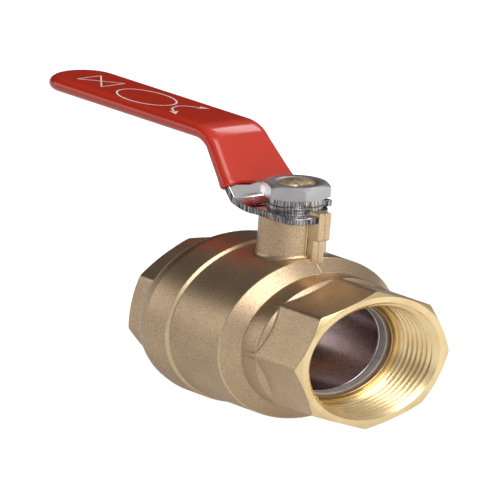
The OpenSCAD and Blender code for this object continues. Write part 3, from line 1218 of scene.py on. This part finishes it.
def make_world():
    """Studio surround: grey in front of the near port, dark behind, and white to the camera."""
    world = bpy.data.worlds.new("studio")
    bpy.context.scene.world = world
    world.use_nodes = True
    nt = world.node_tree
    nt.nodes.clear()
    out = node(nt, "ShaderNodeOutputWorld")
    tc = node(nt, "ShaderNodeTexCoord")
    toward = node(nt, "ShaderNodeVectorMath", operation="DOT_PRODUCT")
    toward.inputs[1].default_value = Vector((0.62, 0.12, 0.5)).normalized()
    nt.links.new(tc.outputs["Generated"], toward.inputs[0])
    side = spread(nt, toward.outputs["Value"], 0.0, 1.0, -1.0, 1.0)
    tone = ramp(
        nt,
        side,
        [
            (0.0, (0.02, 0.018, 0.019)),
            (0.35, (0.03, 0.026, 0.028)),
            (0.54, (0.20, 0.19, 0.195)),
            (0.75, (0.45, 0.44, 0.44)),
            (1.0, (0.60, 0.59, 0.58)),
        ],
    )
    bg = node(nt, "ShaderNodeBackground")
    nt.links.new(tone, bg.inputs["Color"])
    bg.inputs["Strength"].default_value = 1.0
    plain = node(nt, "ShaderNodeBackground")
    plain.inputs["Color"].default_value = (1.0, 1.0, 1.0, 1)
    path = node(nt, "ShaderNodeLightPath")
    blend = node(nt, "ShaderNodeMixShader")
    nt.links.new(path.outputs["Is Camera Ray"], blend.inputs["Fac"])
    nt.links.new(bg.outputs["Background"], blend.inputs[1])
    nt.links.new(plain.outputs["Background"], blend.inputs[2])
    nt.links.new(blend.outputs["Shader"], out.inputs["Surface"])


def floor_material():
    """White to the camera. Off camera it is grey, and glows in front of the near port."""
    m, nt, b = new_material("floor")
    nt.nodes.remove(b)
    grey = node(nt, "ShaderNodeBsdfDiffuse")
    grey.inputs["Color"].default_value = (0.52, 0.52, 0.52, 1)
    glow = node(nt, "ShaderNodeEmission", Strength=0.95)
    both = node(nt, "ShaderNodeAddShader")
    path = node(nt, "ShaderNodeLightPath")
    seen = node(nt, "ShaderNodeMixShader")
    nt.links.new(grey.outputs["BSDF"], both.inputs[0])
    nt.links.new(glow.outputs["Emission"], both.inputs[1])
    nt.links.new(path.outputs["Is Camera Ray"], seen.inputs["Fac"])
    tc = node(nt, "ShaderNodeTexCoord")
    along = node(nt, "ShaderNodeVectorMath", operation="DOT_PRODUCT")
    along.inputs[1].default_value = (0.75, 0.66, 0)
    nt.links.new(tc.outputs["Object"], along.inputs[0])
    table = node(nt, "ShaderNodeEmission")
    nt.links.new(spread(nt, along.outputs["Value"], 0.22, 0.66, -0.06, 0.16), table.inputs["Strength"])
    lit = node(nt, "ShaderNodeAddShader")
    nt.links.new(grey.outputs["BSDF"], lit.inputs[0])
    nt.links.new(table.outputs["Emission"], lit.inputs[1])
    nt.links.new(lit.outputs["Shader"], seen.inputs[1])
    nt.links.new(both.outputs["Shader"], seen.inputs[2])
    nt.links.new(seen.outputs["Shader"], nt.nodes["Material Output"].inputs["Surface"])
    return m


def make_floor():
    bm = bmesh.new()
    bmesh.ops.create_circle(bm, cap_ends=True, radius=4.0, segments=96)
    mesh = bpy.data.meshes.new("floor")
    bm.to_mesh(mesh)
    bm.free()
    mesh.materials.append(floor_material())
    o = bpy.data.objects.new("floor", mesh)
    o.location.z = CAD_LOW.z - 0.0006
    bpy.context.scene.collection.objects.link(o)


make_body()
make_end_cap()
make_stem()
make_lever()
make_sleeve()
make_nut()
make_flat_washer()
make_lock_washer()
make_print()
make_ball_rim("ball_rim_near", BALL_RIM_X)
make_ball_rim("ball_rim_far", -BALL_RIM_X)
dress(["ball"], BALL_PAINTED_REFLECTION)
dress(["seat_body_side", "seat_cap_side", "stem_thrust_washer"], PTFE_SHADED)
dress(["packing_ring_bottom", "packing_ring_middle", "packing_ring_top"], PTFE_SHADED)
dress(["cap_o_ring", "stem_o_ring"], RUBBER)
dress(["packing_gland"], MACHINED)

make_world()
make_floor()
area_light("key", (0.64, -0.22, 0.72), 1.5, (1.1, 1.1), 11)
area_light("overhead", (-0.12, 0.59, 0.80), 1.5, (0.62, 0.22), 2.0)
area_light("right", (0.75, 0.62, 0.10), 1.6, (0.7, 0.5), 0.8)
area_light("left", (-0.74, -0.66, 0.15), 1.8, (1.4, 0.7), 3.2)
make_camera()

bpy.context.scene.view_settings.view_transform = "Standard"
